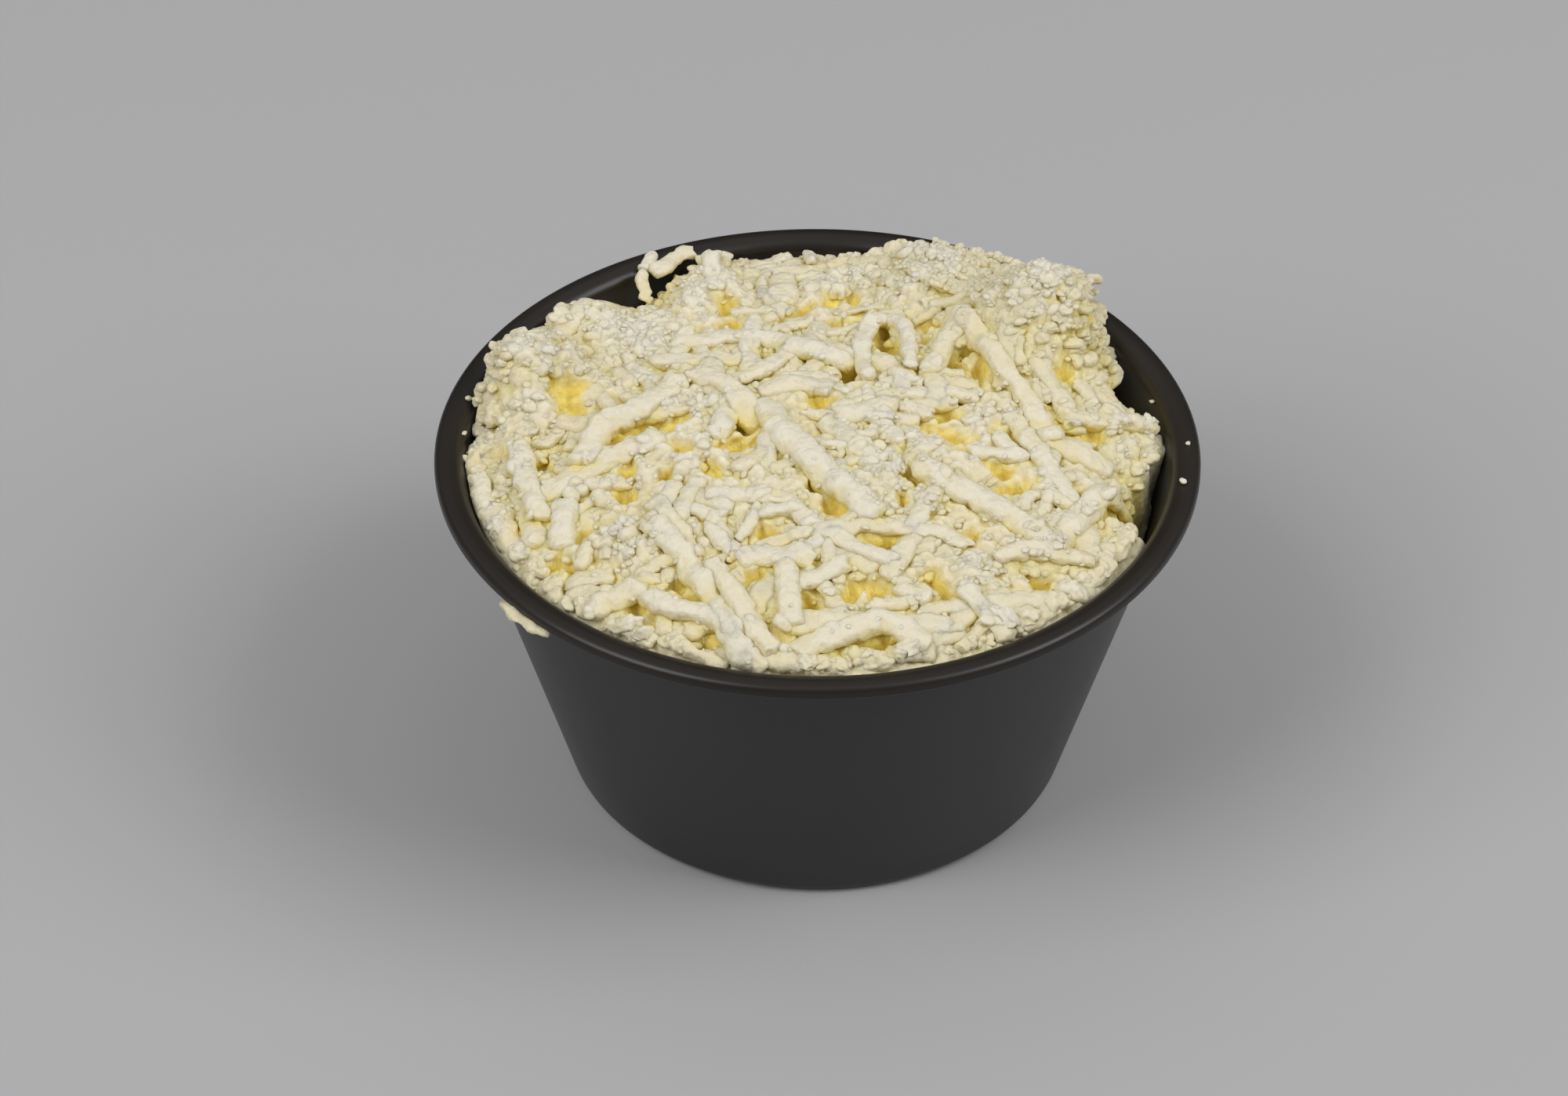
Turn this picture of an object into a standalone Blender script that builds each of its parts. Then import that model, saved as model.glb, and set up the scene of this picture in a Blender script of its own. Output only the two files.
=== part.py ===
"""Portion cup filled to a heap with grated mozzarella.

Two pieces: a thin black plastic cup with a turned-down rim, and the heap of
grated cheese that fills it and stands a little above its brim.
Metres, +Z up, origin on the table at the middle of the cup's base.
The cup's front, as seen by someone looking at it, is towards -Y.
"""

import math
import random

import bmesh
import bpy
from mathutils import Vector

MM = 0.001

# ---- cup -------------------------------------------------------------------
CUP_HEIGHT = 30.2          # table to the top of the rim
RIM_RADIUS = 31.0          # widest point, outside the turned-down lip
LIP_HEIGHT = 1.05          # top of the rim to the lower edge of the lip
LIP_ROUND = 0.55           # outer rounding of the rim's top
WALL = 0.45                # thickness of the moulded wall
WALL_TOP_RADIUS = 29.01    # outside of the wall where it meets the rim
BASE_RADIUS = 20.7         # outside of the wall, run down to the table
BASE_ROUND = 1.45          # rounding between wall and base
FOOT_INNER_RADIUS = 17.2   # the flat ring that the cup stands on starts here
RECESS_RADIUS = 16.0       # the raised middle of the base
RECESS_DEPTH = 0.55
CUP_STEPS = 60

# ---- cheese ----------------------------------------------------------------
GAP = 0.35                 # clear space between the cheese and the cup
CROWN = 4.4                # middle of the heap above the rim, before its relief
SIDES = 72                 # divisions round the heap
TOP_RINGS = 24             # divisions from its top down its skin: the surface,
TUCK_RINGS = 3             # the turn under at the edge,
SIDE_RINGS = 4             # the side against the wall,
FLOOR_RINGS = 6            # and the corner and floor
RINGS = TOP_RINGS + TUCK_RINGS + SIDE_RINGS + FLOOR_RINGS


def clear_scene():
    for obj in list(bpy.data.objects):
        bpy.data.objects.remove(obj, do_unlink=True)
    for coll in list(bpy.data.collections):
        bpy.data.collections.remove(coll)


def material(name, colour, roughness, metallic=0.0):
    mat = bpy.data.materials.new(name)
    mat.use_nodes = True
    bsdf = mat.node_tree.nodes["Principled BSDF"]
    bsdf.inputs["Base Color"].default_value = (*colour, 1.0)
    bsdf.inputs["Roughness"].default_value = roughness
    bsdf.inputs["Metallic"].default_value = metallic
    return mat


def arc(cx, cz, radius, start, end, count):
    """Points on a circle in the (r, z) plane, angles in degrees from +r."""
    points = []
    for k in range(count):
        a = math.radians(start + (end - start) * k / (count - 1))
        points.append((cx + radius * math.cos(a), cz + radius * math.sin(a)))
    return points


# ---- the cup's wall line ---------------------------------------------------
WALL_SLOPE = (WALL_TOP_RADIUS - BASE_RADIUS) / (CUP_HEIGHT - LIP_HEIGHT)
WALL_ANGLE = math.degrees(math.atan(WALL_SLOPE))        # lean from the vertical
WALL_ACROSS = WALL / math.cos(math.radians(WALL_ANGLE))  # thickness, measured level


def outer_wall(z):
    return BASE_RADIUS + WALL_SLOPE * z


def inner_wall(z):
    return outer_wall(z) - WALL_ACROSS


def cup_profile():
    """Inside of the floor, out and up the inner wall, over the rim, down the outside, in to the axis."""
    top = CUP_HEIGHT
    p = []
    # inside floor: raised middle, step down to the ring, fillet into the wall
    p += [(0.0, RECESS_DEPTH + WALL), (RECESS_RADIUS - 0.3, RECESS_DEPTH + WALL)]
    p += [(FOOT_INNER_RADIUS - 0.1, WALL)]
    inner_round = BASE_ROUND - WALL
    # the fillet touches the floor line z = WALL and the inner wall line
    cz = WALL + inner_round
    cr = inner_wall(cz) - inner_round / math.cos(math.radians(WALL_ANGLE))
    p += arc(cr, cz, inner_round, -90, -WALL_ANGLE, 5)
    # inner wall up to the rounding into the rim's top
    knee = 1.0
    kz = top - 0.08 - knee
    kr = inner_wall(kz) + knee / math.cos(math.radians(WALL_ANGLE))
    p += arc(kr, kz, knee, 180 - WALL_ANGLE, 96, 6)
    # gently crowned top, then the rounded outer edge of the lip
    outer = RIM_RADIUS - LIP_ROUND
    p += [(outer - 0.55, top)]
    p += arc(outer, top - LIP_ROUND, LIP_ROUND, 82, 0, 6)
    # lip: short skirt with a rounded lower edge
    low = top - LIP_HEIGHT
    p += [(RIM_RADIUS, low + 0.22), (RIM_RADIUS - 0.10, low + 0.04), (RIM_RADIUS - 0.26, low)]
    p += [(RIM_RADIUS - 0.42, low + 0.10), (RIM_RADIUS - 0.47, low + 0.35)]
    # underside of the rim, back to the outer wall with a fillet
    p += [(RIM_RADIUS - 0.62, top - 0.62), (RIM_RADIUS - 0.95, top - 0.50)]
    fillet = 0.6
    fz = top - 0.50 - fillet
    fr = outer_wall(fz) + fillet / math.cos(math.radians(WALL_ANGLE))
    p += arc(fr, fz, fillet, 92, 180 - WALL_ANGLE, 4)
    # outer wall, rounded corner, foot ring, recess
    cz = BASE_ROUND
    cr = outer_wall(cz) - BASE_ROUND / math.cos(math.radians(WALL_ANGLE))
    p += arc(cr, cz, BASE_ROUND, -WALL_ANGLE, -90, 6)
    p += [(FOOT_INNER_RADIUS, 0.0), (RECESS_RADIUS, RECESS_DEPTH), (0.0, RECESS_DEPTH)]
    return p


def make_cup(collection, mat):
    points = [Vector((r * MM, 0.0, z * MM)) for r, z in cup_profile()]
    mesh = bpy.data.meshes.new("cup")
    mesh.from_pydata(points, [(k, k + 1) for k in range(len(points) - 1)], [])
    cup = bpy.data.objects.new("cup", mesh)
    collection.objects.link(cup)
    screw = cup.modifiers.new("Turned", "SCREW")
    screw.axis = "Z"
    screw.angle = 2 * math.pi
    screw.steps = CUP_STEPS
    screw.render_steps = CUP_STEPS
    screw.use_merge_vertices = True
    screw.merge_threshold = 0.00001
    screw.use_smooth_shade = True
    mesh.materials.append(mat)
    return cup


# ---- the heap --------------------------------------------------------------
def bump(x, y, cx, cy, height, spread):
    d2 = (x - cx) ** 2 + (y - cy) ** 2
    return height * math.exp(-d2 / (2 * spread * spread))


# Each is a rise or a dip of the heap: x, y, height in mm, spread in mm.
MOUNDS = [
    (20.0, 17.4, 5.0, 4.4),     # high shoulder, back right
    (10.8, 23.2, 2.7, 3.4),     # it runs on along the back
    (26.5, 12.0, -2.6, 2.6),    # and falls away steeply on the right
    (-24.4, 8.2, 3.6, 3.4),     # small shoulder, left, a little to the back
    (-19.8, 16.4, 1.6, 2.4),
    (-11.5, 24.3, 2.2, 1.9),    # strands leaning on the rim at the back
    (-15.4, 21.6, -2.2, 2.0),   # hollow next to them, where the inner wall shows
    (26.0, -4.5, -1.6, 1.8),    # notch on the right
    (-9.0, -3.0, 0.7, 5.0),
    (6.0, -6.0, 0.6, 5.0),
    (-3.0, 8.0, -0.5, 4.0),
]


def strands(count, seed):
    """Short ridges lying every way, the relief that bunches of gratings leave."""
    rng = random.Random(seed)
    made = []
    for _ in range(count):
        radius = 26.0 * math.sqrt(rng.random())
        where = rng.uniform(0, 2 * math.pi)
        made.append((
            radius * math.cos(where), radius * math.sin(where),
            rng.uniform(0, math.pi), rng.uniform(4.0, 8.5),
            rng.uniform(1.7, 2.4), rng.uniform(0.7, 1.5),
        ))
    return made


RIDGES = strands(90, 11)


def relief(x, y):
    highest = 0.0
    for cx, cy, turn, half, width, height in RIDGES:
        dx, dy = x - cx, y - cy
        along = abs(dx * math.cos(turn) + dy * math.sin(turn))
        across = -dx * math.sin(turn) + dy * math.cos(turn)
        past = max(0.0, along - half + width)
        d2 = (across * across + past * past) / (width * width)
        if d2 < 1.0:
            highest = max(highest, height * math.sqrt(1.0 - d2))
    return highest


def heap_top(x, y):
    """Height of the heap's surface above the table."""
    r = math.hypot(x, y)
    z = CUP_HEIGHT - 0.8 + CROWN * max(0.0, 1.0 - (r / 28.5) ** 2) ** 0.75
    for m in MOUNDS:
        z += bump(x, y, *m)
    fine = min(1.0, r / 6.0)                    # the rings crowd together in the middle
    return z + relief(x, y) * fine + 0.7 * (1.0 - fine) - 0.6


# Where the cheese leans out over the rim: direction and half-width in degrees, reach in mm.
LEANS = ((50.0, 16.0, 2.2), (68.0, 12.0, 1.6), (150.0, 12.0, 1.4))


def overhang(angle, wider=0.0):
    """How far the cheese leans out over the rim in that direction, in mm."""
    most = 0.0
    for centre, spread, out in LEANS:
        d = abs((math.degrees(angle) - centre + 180.0) % 360.0 - 180.0)
        share = min(1.0, max(0.0, (spread + wider - d) / (spread * 0.6)))
        most = max(most, out * share * share * (3.0 - 2.0 * share))
    return most


def heap_point(k, angle):
    """A point of the heap's skin on ring k: 0 is the top's middle, RINGS the bottom's."""
    ca, sa = math.cos(angle), math.sin(angle)
    over = CUP_HEIGHT + GAP                     # underside of what leans over the rim
    brim = inner_wall(CUP_HEIGHT - 1.45) - GAP
    high = overhang(angle, 8.0) > 0.02
    edge = heap_top(brim * ca, brim * sa) - 1.0
    if high:                                    # stands clear of the rim here
        edge = max(edge, over + 0.6)
    edge = max(edge, CUP_HEIGHT - 2.6)
    high = edge > over + 0.2
    inside = inner_wall(min(edge, CUP_HEIGHT - 1.1) - 0.35) - GAP
    reach = inside + overhang(angle)

    if k <= TOP_RINGS:                          # the heap's own surface
        f = k / TOP_RINGS
        r = reach * f
        z = heap_top(r * ca, r * sa)
        if f > 0.8:                             # it rolls down at the edge
            g = (f - 0.8) / 0.2
            z += (edge - heap_top(reach * ca, reach * sa)) * g * g
    elif k <= TOP_RINGS + TUCK_RINGS:           # turns under, back inside the wall
        under = over if high else edge - 0.35
        step = k - TOP_RINGS
        if step == 1:
            r, z = max(inside, reach - 0.30), under
        elif step == 2:
            r, z = inside - 0.10, under - (0.02 if high else 0.2)
        else:
            r, z = inner_wall(CUP_HEIGHT - 3.4) - GAP - 0.05, CUP_HEIGHT - 3.4
    elif k <= TOP_RINGS + TUCK_RINGS + SIDE_RINGS:   # down the inside of the wall
        f = (k - TOP_RINGS - TUCK_RINGS) / SIDE_RINGS
        z0, z1 = CUP_HEIGHT - 3.4, WALL + GAP + 1.4
        z = z0 + (z1 - z0) * f
        r = inner_wall(z) - GAP - 0.05
    else:                                       # round the corner and in along the floor
        j = k - TOP_RINGS - TUCK_RINGS - SIDE_RINGS
        corner = inner_wall(WALL + GAP + 1.4) - GAP - 0.05
        floor = RECESS_DEPTH + WALL + GAP
        if j <= 3:
            a = j / 3 * math.pi / 2
            r = corner - 1.1 * (1 - math.cos(a))
            z = WALL + GAP + 1.4 - (WALL + GAP + 1.4 - floor) * math.sin(a)
        else:
            r = (corner - 1.1) * (1.0 - (j - 3) / (FLOOR_RINGS - 3))
            z = floor
    return r * ca, r * sa, z


def make_cheese(collection, mat):
    """A ball whose rings are carried onto the heap's skin."""
    bm = bmesh.new()
    bmesh.ops.create_uvsphere(bm, u_segments=SIDES, v_segments=RINGS, radius=1.0)
    for v in bm.verts:
        n = v.co.normalized()
        ring = round(math.acos(max(-1.0, min(1.0, n.z))) / math.pi * RINGS)
        angle = math.atan2(n.y, n.x) if 0 < ring < RINGS else 0.0
        v.co = Vector(heap_point(ring, angle)) * MM
    mesh = bpy.data.meshes.new("grated_cheese")
    bm.to_mesh(mesh)
    bm.free()
    mesh.shade_smooth()
    cheese = bpy.data.objects.new("grated_cheese", mesh)
    collection.objects.link(cheese)
    mesh.materials.append(mat)
    return cheese


def main():
    clear_scene()
    collection = bpy.data.collections.new("cup_of_grated_cheese")
    bpy.context.scene.collection.children.link(collection)
    black = material("black_plastic", (0.022, 0.021, 0.021), 0.32)
    cream = material("cream_cheese_white", (0.86, 0.79, 0.60), 0.55)
    make_cup(collection, black)
    make_cheese(collection, cream)


main()
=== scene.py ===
"""Looks of a black portion cup heaped with grated white cheese.

Every length in the making is in millimetres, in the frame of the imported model:
+Z up, origin on the table at the middle of the cup's base, front towards -Y.
Meshes are written in metres at the very end.

The gratings are soft strands.  Each one is laid on a height map of what is
already there, bends over it as a limp strand would, and is then added to the
map, so the heap is a real pile in which every piece lies on its neighbours.
"""

import math
import sys

import bpy
import numpy as np
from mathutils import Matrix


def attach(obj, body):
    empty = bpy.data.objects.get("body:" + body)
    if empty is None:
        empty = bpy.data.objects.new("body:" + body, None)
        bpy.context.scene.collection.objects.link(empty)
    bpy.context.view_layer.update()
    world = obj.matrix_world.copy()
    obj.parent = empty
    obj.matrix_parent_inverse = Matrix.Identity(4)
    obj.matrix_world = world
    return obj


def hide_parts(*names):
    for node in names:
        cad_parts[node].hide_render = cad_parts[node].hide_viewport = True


MM = 0.001

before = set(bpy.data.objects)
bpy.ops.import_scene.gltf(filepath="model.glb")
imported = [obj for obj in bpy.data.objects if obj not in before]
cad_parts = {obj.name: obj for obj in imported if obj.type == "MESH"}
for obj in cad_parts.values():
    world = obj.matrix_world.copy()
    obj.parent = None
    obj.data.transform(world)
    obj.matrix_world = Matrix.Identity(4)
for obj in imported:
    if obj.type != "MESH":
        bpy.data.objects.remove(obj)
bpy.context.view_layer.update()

# ---- camera: fitted to the cup's outline ------------------------------------
ELEVATION = math.radians(38.32)
DISTANCE = 400.0
AIM = (-2.70, 0.0, 19.47)
FOCAL = 6198.3                      # in pixels of a frame 2000 wide
MIDDLE = (1000.0, 699.0)
SIN_E, COS_E = math.sin(ELEVATION), math.cos(ELEVATION)
EYE = (AIM[0], AIM[1] - DISTANCE * COS_E, AIM[2] + DISTANCE * SIN_E)


def on_level(u, v, z):
    """Where the ray through a pixel meets the level z."""
    dx, dy = (u - MIDDLE[0]) / FOCAL, (MIDDLE[1] - v) / FOCAL
    d = (dx, COS_E + dy * SIN_E, -SIN_E + dy * COS_E)
    t = (z - EYE[2]) / d[2]
    return EYE[0] + t * d[0], EYE[1] + t * d[1]


# ---- cup --------------------------------------------------------------------
CUP_HEIGHT = 30.2
RIM_RADIUS = 31.0
LIP_HEIGHT = 1.05
LIP_ROUND = 0.55
WALL = 0.45
WALL_TOP_RADIUS = 29.01
BASE_RADIUS = 20.7
BASE_ROUND = 1.45
FOOT_INNER_RADIUS = 17.2
RECESS_RADIUS = 16.0
RECESS_DEPTH = 0.55
WALL_SLOPE = (WALL_TOP_RADIUS - BASE_RADIUS) / (CUP_HEIGHT - LIP_HEIGHT)
WALL_ANGLE = math.degrees(math.atan(WALL_SLOPE))
WALL_ACROSS = WALL / math.cos(math.radians(WALL_ANGLE))
KNEE = 1.0
KNEE_Z = CUP_HEIGHT - 0.08 - KNEE


def outer_wall(z):
    return BASE_RADIUS + WALL_SLOPE * z


def inner_wall(z):
    return outer_wall(z) - WALL_ACROSS


KNEE_R = inner_wall(KNEE_Z) + KNEE / math.cos(math.radians(WALL_ANGLE))


def arc(cx, cz, radius, start, end, count):
    a = np.radians(np.linspace(start, end, count))
    return [(cx + radius * math.cos(t), cz + radius * math.sin(t)) for t in a]


def cup_profile():
    """(r, z) from the middle of the inside floor, over the rim and under the base."""
    top = CUP_HEIGHT
    p = [(0.0, RECESS_DEPTH + WALL), (RECESS_RADIUS - 1.2, RECESS_DEPTH + WALL)]
    p += [(RECESS_RADIUS - 0.3, RECESS_DEPTH + WALL - 0.03), (FOOT_INNER_RADIUS - 0.1, WALL)]
    inner_round = BASE_ROUND - WALL
    cz = WALL + inner_round
    cr = inner_wall(cz) - inner_round / math.cos(math.radians(WALL_ANGLE))
    p += arc(cr, cz, inner_round, -90, -WALL_ANGLE, 8)
    p += [(inner_wall(z), z) for z in np.linspace(4.0, KNEE_Z - 0.5, 12)]
    p += arc(KNEE_R, KNEE_Z, KNEE, 180 - WALL_ANGLE, 96, 12)
    outer = RIM_RADIUS - LIP_ROUND
    p += [(outer - 0.75, top - 0.012), (outer - 0.45, top)]
    p += arc(outer, top - LIP_ROUND, LIP_ROUND, 84, 0, 12)
    low = top - LIP_HEIGHT
    p += [(RIM_RADIUS, low + 0.40)]
    p += arc(RIM_RADIUS - 0.22, low + 0.22, 0.22, 0, -180, 11)
    p += [(RIM_RADIUS - 0.47, top - 0.77), (RIM_RADIUS - 0.52, top - 0.72)]
    p += arc(RIM_RADIUS - 0.74, top - 0.72, 0.22, 0, 90, 6)
    fillet = 0.6
    fz = top - 0.50 - fillet
    fr = outer_wall(fz) + fillet / math.cos(math.radians(WALL_ANGLE))
    p += arc(fr, fz, fillet, 92, 180 - WALL_ANGLE, 8)
    p += [(outer_wall(z), z) for z in np.linspace(fz - 0.8, BASE_ROUND + 0.8, 16)]
    cz = BASE_ROUND
    cr = outer_wall(cz) - BASE_ROUND / math.cos(math.radians(WALL_ANGLE))
    p += arc(cr, cz, BASE_ROUND, -WALL_ANGLE, -90, 12)
    p += [(FOOT_INNER_RADIUS, 0.0), (RECESS_RADIUS, RECESS_DEPTH), (RECESS_RADIUS - 1.0, RECESS_DEPTH + 0.02), (0.0, RECESS_DEPTH)]
    return p


# ---- noise, the same on every run -------------------------------------------
def lattice(ix, iy, iz, seed):
    h = (ix.astype(np.int64) * 374761393 + iy.astype(np.int64) * 668265263
         + iz.astype(np.int64) * 2147483629 + seed * 974711) & 0xFFFFFFFF
    h = ((h ^ (h >> 13)) * 1274126177) & 0xFFFFFFFF
    h = ((h ^ (h >> 16)) * 2246822519) & 0xFFFFFFFF
    return ((h ^ (h >> 15)) & 0xFFFFFF) / float(0x7FFFFF) - 1.0


def noise3(p, size, seed):
    """Smooth value noise in -1..1 with lumps of about that size; p is (n, 3)."""
    q = p / size
    i = np.floor(q).astype(np.int64)
    f = q - i
    f = f * f * f * (f * (f * 6 - 15) + 10)
    out = np.zeros(len(p))
    for dx in (0, 1):
        wx = f[:, 0] if dx else 1 - f[:, 0]
        for dy in (0, 1):
            wy = f[:, 1] if dy else 1 - f[:, 1]
            for dz in (0, 1):
                wz = f[:, 2] if dz else 1 - f[:, 2]
                out += wx * wy * wz * lattice(i[:, 0] + dx, i[:, 1] + dy, i[:, 2] + dz, seed)
    return out


def lumps3(p, size, seed):
    """Rounded lumps of about that size, side by side: 1 on their tops, towards 0 in the creases."""
    q = p / size
    base = np.floor(q).astype(np.int64)
    nearest = np.full(len(p), 9.0)
    for dx in (-1, 0, 1):
        for dy in (-1, 0, 1):
            for dz in (-1, 0, 1):
                cx, cy, cz = base[:, 0] + dx, base[:, 1] + dy, base[:, 2] + dz
                ox = cx + 0.5 + 0.42 * lattice(cx, cy, cz, seed)
                oy = cy + 0.5 + 0.42 * lattice(cx, cy, cz, seed + 1)
                oz = cz + 0.5 + 0.42 * lattice(cx, cy, cz, seed + 2)
                nearest = np.minimum(nearest, (q[:, 0] - ox) ** 2 + (q[:, 1] - oy) ** 2 + (q[:, 2] - oz) ** 2)
    return np.clip(1 - nearest, 0, 1)


# ---- the heap's outline -----------------------------------------------------
CROWN = 3.9
MOUNDS = [                          # x, y, height, spread in mm
    (19.5, 14.7, 6.5, 4.7),         # high shoulder, back right
    (10.5, 23.0, 3.1, 3.3),         # it runs on along the back
    (-24.6, 7.8, 4.2, 3.3),         # small shoulder, left and a little to the back
    (-19.8, 16.4, 2.0, 2.3),
    (-9.3, 24.6, 1.7, 1.4),         # a grating leaning on the rim at the back
    (-15.4, 21.6, -2.2, 1.8),       # hollow beside them, where the inner wall shows
    (-4.0, 25.5, 0.0, 3.2),
    (24.7, 10.4, -3.2, 2.3),        # notches on the right
    (26.0, -4.5, -2.0, 1.8),
    (-27.0, 4.0, -0.7, 1.8),
    (-9.0, -3.0, 0.5, 5.0),
    (6.0, -6.0, 0.4, 5.0),
]


def heap_top(x, y):
    r2 = (x * x + y * y) / (28.5 * 28.5)
    z = CUP_HEIGHT - 0.9 + CROWN * np.clip(1.0 - r2, 0.0, None) ** 0.8
    for cx, cy, height, spread in MOUNDS:
        z = z + height * np.exp(-((x - cx) ** 2 + (y - cy) ** 2) / (2 * spread * spread))
    return z


CELL = 0.2
HALF = 34.0
N_CELLS = int(2 * HALF / CELL) + 1
AXIS = np.linspace(-HALF, HALF, N_CELLS)
GX, GY = np.meshgrid(AXIS, AXIS, indexing="ij")
GR = np.hypot(GX, GY)
TARGET = heap_top(GX, GY)


def sample(field, x, y):
    """Bilinear look-up in a height map."""
    fx = np.clip((x + HALF) / CELL, 0, N_CELLS - 1.001)
    fy = np.clip((y + HALF) / CELL, 0, N_CELLS - 1.001)
    ix, iy = fx.astype(int), fy.astype(int)
    fx, fy = fx - ix, fy - iy
    return (field[ix, iy] * (1 - fx) * (1 - fy) + field[ix + 1, iy] * fx * (1 - fy)
            + field[ix, iy + 1] * (1 - fx) * fy + field[ix + 1, iy + 1] * fx * fy)


def rim_height(r):
    """Top of the cup's own surface at a radius, as something the cheese can lie on."""
    z = np.full(r.shape, -50.0)
    z = np.where(r > inner_wall(20.0), (r - (BASE_RADIUS - WALL_ACROSS)) / WALL_SLOPE, z)
    on_knee = (r > KNEE_R - KNEE * 0.985) & (r < KNEE_R)
    z = np.where(on_knee, KNEE_Z + np.sqrt(np.clip(KNEE ** 2 - (KNEE_R - r) ** 2, 0, None)), z)
    z = np.where(r >= KNEE_R, CUP_HEIGHT, z)
    over = RIM_RADIUS - LIP_ROUND
    z = np.where(r > over, CUP_HEIGHT - LIP_ROUND + np.sqrt(np.clip(LIP_ROUND ** 2 - (r - over) ** 2, 0, None)), z)
    return np.where(r > RIM_RADIUS, -50.0, z)



# ---- gaps: small wells between the gratings, where a painted golden glow stands in for light shining through the cheese ---
# pixel x, pixel y, radius in mm
WELLS = [
    (726, 497, 0.9), (730, 530, 1.1), (785, 567, 0.8), (812, 553, 0.9), (838, 546, 0.9), (866, 541, 0.8),
    (950, 542, 1.0), (939, 570, 1.1), (868, 578, 0.8), (905, 600, 0.9), (856, 607, 0.7), (926, 393, 0.9),
    (931, 420, 1.0), (1030, 399, 1.0), (1060, 386, 0.8), (1088, 385, 0.8), (1080, 414, 0.9), (1128, 428, 0.9),
    (1138, 450, 0.8), (975, 462, 0.6), (1042, 514, 0.9), (1083, 478, 0.8), (1210, 556, 1.1), (1203, 530, 0.7),
    (1239, 448, 0.6), (1247, 482, 0.7), (1185, 420, 0.7), (1216, 470, 0.6), (1353, 476, 0.9), (1288, 558, 0.7),
    (1343, 556, 0.6), (1396, 560, 0.8), (1272, 602, 0.8), (1292, 624, 0.9), (1046, 622, 0.9), (1064, 650, 0.9),
    (1164, 617, 0.8), (700, 733, 0.9), (722, 731, 0.9), (742, 690, 0.8), (868, 750, 0.7), (886, 774, 0.7),
    (796, 606, 0.8), (797, 635, 0.7), (1127, 699, 1.0), (1088, 757, 0.8), (1116, 757, 0.8), (1197, 749, 0.9),
    (1328, 752, 0.9), (1410, 661, 0.8), (1434, 659, 0.8), (1292, 682, 0.8), (1029, 774, 0.6), (968, 740, 0.7),
    (978, 684, 0.7), (1004, 702, 0.5), (1119, 829, 0.7), (900, 830, 0.5), (812, 784, 0.6), (649, 690, 0.6),
    (1365, 700, 0.5), (1150, 640, 0.5), (690, 600, 0.7), (1240, 690, 0.5), (1376, 640, 0.4),
]
wells = []
for u, v, radius in WELLS:
    x, y = on_level(u, v, CUP_HEIGHT + 2.0)
    for _ in range(3):
        x, y = on_level(u, v, float(heap_top(np.float64(x), np.float64(y))) - 1.0)
    wells.append((x, y, radius))
WELL = np.array(wells)

# Places at the wall where the cheese stands back and the black inside of the cup shows:
# pixel x, pixel y, radius in mm, depth in mm.
NOTCHES = [
    (1404, 402, 1.2, 6.0), (1414, 425, 1.6, 8.0), (1434, 450, 1.6, 8.0), (1448, 478, 1.6, 8.0), (1460, 500, 2.0, 8.0),
    (1468, 520, 1.2, 6.0), (1484, 580, 0.8, 6.0), (1481, 600, 0.8, 6.0), (1472, 628, 1.6, 9.0), (1464, 646, 1.7, 9.0), (1456, 658, 1.2, 7.0), (628, 500, 0.6, 3.0), (618, 545, 0.8, 4.0),
    (700, 392, 1.3, 4.0), (735, 372, 1.6, 4.0), (775, 352, 1.9, 5.0), (808, 350, 1.5, 5.0), (842, 352, 0.9, 4.0),
    (876, 341, 1.0, 4.5), (945, 325, 1.3, 4.0), (985, 314, 1.3, 4.0), (1048, 309, 0.9, 3.0), (1115, 312, 1.2, 3.5),
    (1190, 346, 0.7, 3.5), (1280, 334, 0.6, 3.0),
]

# Where the heap is crumbs rather than gratings: middle of the patch and its radius, in mm.
CRUMBLY = [(18.5, 15.0, 8.5), (9.5, 21.5, 5.5), (-23.0, 9.5, 6.5), (-15.5, 13.5, 5.5), (-24.5, 2.0, 4.0), (-25.0, -3.5, 3.4),
           (-9.5, 20.5, 4.5), (24.5, 2.0, 4.0), (5.5, -9.0, 5.0), (-10.0, 2.0, 3.6), (17.0, -13.0, 3.8), (2.0, 21.0, 4.0),
           (-9.0, -5.0, 3.2), (12.0, -17.5, 3.2), (-14.5, -14.0, 3.2), (23.0, -8.0, 3.2), (14.5, 2.5, 2.6)]


def crumbly(x, y):
    """1 in the crumbly patches, 0 outside."""
    out = np.zeros(np.shape(x))
    for cx, cy, reach in CRUMBLY:
        out = np.maximum(out, np.clip(2.0 * (1 - np.hypot(x - cx, y - cy) / reach), 0, 1))
    return out


# What fills the cup under the gratings: crumbled cheese, pressed together.
spots = np.stack([GX.ravel(), GY.ravel(), np.zeros(GX.size)], 1)
lumps = (0.40 * noise3(spots, 2.6, 5) + 0.16 * noise3(spots, 1.2, 6)).reshape(GX.shape)
CORE = TARGET - 0.62 + 0.60 * crumbly(GX, GY) + lumps
# painted glow: this map marks the wells, whose colour is painted gold for light shining through the cheese
WELL_GLOW = np.zeros(GX.shape)
shape = np.random.default_rng(11)
uneven = noise3(spots, 1.3, 8).reshape(GX.shape)
for x, y, radius in wells:
    way, longer = shape.uniform(0, math.pi), shape.uniform(1.1, 1.7)
    dx, dy = GX - x, GY - y
    along, across = dx * math.cos(way) + dy * math.sin(way), dy * math.cos(way) - dx * math.sin(way)
    d2 = ((along / longer) ** 2 + (across * longer) ** 2) / (radius + 0.2) ** 2 * (1 + 0.6 * uneven)
    pit = np.exp(-d2 * d2)
    TARGET -= 1.3 * pit
    CORE -= 1.3 * pit
    WELL_GLOW = np.maximum(WELL_GLOW, np.exp(-0.6 * d2))
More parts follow.
